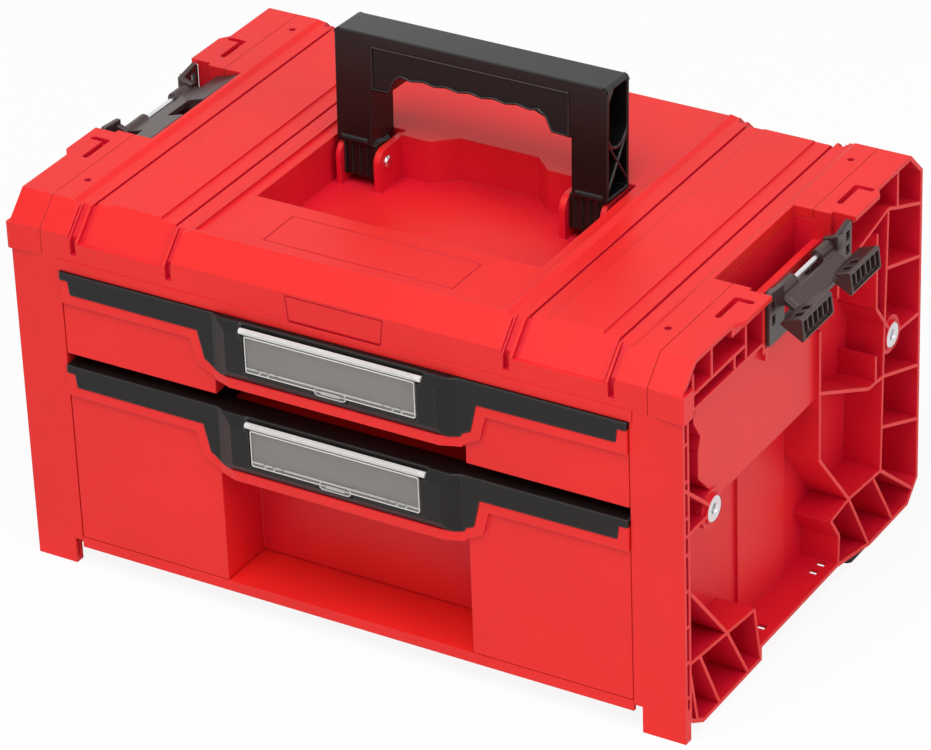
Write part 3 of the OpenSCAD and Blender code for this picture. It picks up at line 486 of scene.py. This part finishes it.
def hinge_bar(x, y, z, half, collar):
    """A fluted bar along X with a smooth collar at each end.

    Radius = 1.78 mm + 0.16 mm * cos(9 t) between the collars, the same all round on them
    and down to nothing at both ends. Point (i, j) = x_i, and the radius at angle t_j.
    """
    place = np.array([-half, -half, -half + 0.0003, -half + collar, -half + collar,
                      half - collar, half - collar, half - 0.0003, half, half])[:, None]
    size = np.array([0, 1.6, 1.95, 1.95, 1.78, 1.78, 1.95, 1.95, 1.6, 0])[:, None] / 1000
    flutes = np.array([0, 0, 0, 0, 1, 1, 0, 0, 0, 0])[:, None] * 0.00016
    t = np.linspace(0, 2 * np.pi, 84, endpoint=False)[None, :]
    radius = size + flutes * np.cos(9 * t)
    return np.stack([x + place + 0 * t, y + radius * np.cos(t), z + radius * np.sin(t)], 2)


def stud_dome(x, y, z, radius):
    """A ball of the given radius round its centre.

    Point (i, j) = centre + radius * (sin a_i cos t_j, -cos a_i, sin a_i sin t_j).
    """
    a = np.linspace(0, np.pi, 11)[:, None]
    t = np.linspace(0, 2 * np.pi, 20, endpoint=False)[None, :]
    return np.stack([x + radius * np.sin(a) * np.cos(t), y - radius * np.cos(a) + 0 * t,
                     z + radius * np.sin(a) * np.sin(t)], 2)


card = paper("card", (0.20, 0.18, 0.16))
clear = clear_plastic("clear_cover", (0.42, 0.41, 0.39), cover=0.3, roughness=0.16)
# Near-white, nearly opaque clear plastic for the cover's lines, studs and hinge bar: a painted
# highlight on their rounded edges.
clear_highlight = clear_plastic("clear_highlight", (0.86, 0.86, 0.84), cover=0.85, roughness=0.14)
# Each line on a cover: half its width, its lower and upper edge below the seat's top, its
# corners' radius and its own radius.
cover_lines = {
    "rim": (0.0571, 0.0300, 0.0066, 0.0012, 0.00035),
    "step": (0.0566, 0.0276, 0.0270, 0.0002, 0.0002),
    "tab": (0.0105, 0.0325, 0.0275, 0.0024, 0.00035),
    "pull": (0.0062, 0.0308, 0.0296, 0.0005, 0.00035),
}
stud_places = (-0.048, -0.042, 0.042, 0.048)
stud_radius, stud_drop = 0.00095, 0.0287
bar_y, bar_drop = -0.1536, 0.0042
for drawer, top in (("upper", 0.2058), ("lower", 0.1425)):
    moulding(f"{drawer}_label_card", card)
    node = f"{drawer}_label_cover"
    moulding(node, clear, rounding=0.0003)
    face_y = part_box(node)[0][1] + 0.00035
    for name, (half, lower, upper, corner, radius) in cover_lines.items():
        path = rounded_frame(middle_x - half, middle_x + half, top - lower, top - upper,
                             face_y, corner)
        surface(f"{drawer}_cover_{name}", line_round(path, (0, -1, 0), radius), node,
                clear_highlight)
    for number, x in enumerate(stud_places):
        stud = stud_dome(middle_x + x, face_y + 0.0006, top - stud_drop, stud_radius)
        surface(f"{drawer}_cover_stud_{number}", stud, node, clear_highlight,
                loops=(False, True))
    bar = hinge_bar(middle_x, bar_y, top - bar_drop, half=0.0612, collar=0.0042)
    surface(f"{drawer}_hinge_bar", bar, node, clear_highlight, loops=(False, True))

# ---- Top cover ----
# One red moulding with bevelled front and back, four narrow grooves, two low
# pads, a sunk recess for the handle and a bare name-plate place on its lip.
moulding("top_cover", case_red)

# ---- Handle pins ----
# Two steel pins, each through the pair of ears on its side of the recess. A
# low domed head closes each one on its inner ear.
pin_y, pin_z, head_x = 14.25, 233.2, 61.5
moulding("handle_pins", steel, rounding=0.0003)
dome_profile = [(0, 4.0), (-0.5, 3.95), (-1.0, 3.7), (-1.4, 3.2), (-1.7, 2.4), (-1.85, 1.3),
                (-1.9, 0), (0, 0)]
for end, side in (("left", 1), ("right", -1)):
    centre = (middle_x - side * head_x / 1000, pin_y / 1000, pin_z / 1000)
    dome = turned(dome_profile, centre, side)
    surface(f"{end}_pin_head", dome, "handle_pins", steel)

# ---- Carry handle ----
# One stiff black moulding, open at the legs, that turns on the two pins. A
# softer dark grip panel with finger waves is set into its front and framed by
# a fine raised line.
# Painted highlight along its edges, partly wear.
handle_black = moulded("handle_black", (0.005, 0.0045, 0.0045), roughness=0.32, shine=0.36,
                       edge=0.6, highlight_and_wear_lift=0.09)
grip_black = moulded("grip_black", (0.006, 0.005, 0.005), roughness=0.5, shine=0.3, edge=0.2,
                     grain=1.0)
moulding("carry_handle", handle_black, rounding=0.0008)
moulding("handle_grip", grip_black, rounding=0.0005)


def grip_path():
    """The grip panel's outline on the leaning front of the handle.

    Its lower edge is h = 61.0 + 0.7 * cos(2 pi x / 16) in mm between the finger stops.
    Heights h over the pin become y = pin_y - 6.7 cos a + h sin a and z = pin_z + 6.7 sin a
    + h cos a, with a = 2.3 degrees.
    """
    front, lean = 6.7, np.radians(2.3)
    wave_x = np.arange(-47.8, 47.9, 1.6)
    wave = np.stack([wave_x, 61.0 + 0.7 * np.cos(2 * np.pi * wave_x / 16)], 1)
    left = [(-66.8, 49.0), (-55.8, 49.5), (-51.8, 58.0)]
    right = [(51.8, 58.0), (55.8, 49.5), (66.8, 49.0), (66.8, 76.3), (-66.8, 76.3)]
    x, height = np.concatenate([left, wave, right]).T
    y = pin_y - front * np.cos(lean) + height * np.sin(lean)
    z = pin_z + front * np.sin(lean) + height * np.cos(lean)
    return np.stack([x / 1000 + middle_x, y / 1000, z / 1000], 1)


# A lighter black for the grip line: a painted highlight along it.
highlight_black = moulded("highlight_black", (0.034, 0.031, 0.030), roughness=0.3, shine=0.45,
                       edge=0.4)
front_out = (0, -0.9992, 0.0401)
surface("grip_line", line_round(grip_path(), front_out, radius=0.0005), "carry_handle",
        highlight_black)

# ---- Side clips ----
# A dark brown glass-filled plastic lever with two hollow hooks turns on a steel
# pin between the tabs of a bracket that is snapped into the pocket of each end.
# Painted highlight along its edges, partly wear.
clip_brown = moulded("clip_brown", (0.046, 0.022, 0.021), roughness=0.32, shine=0.46,
                     edge=0.6, highlight_and_wear_lift=0.11)
moulding("clip_pins", steel, rounding=0.0002)
for end in ("left", "right"):
    moulding(f"{end}_clip_bracket", clip_brown, rounding=0.0004)
    moulding(f"{end}_clip_lever", clip_brown, rounding=0.0004)
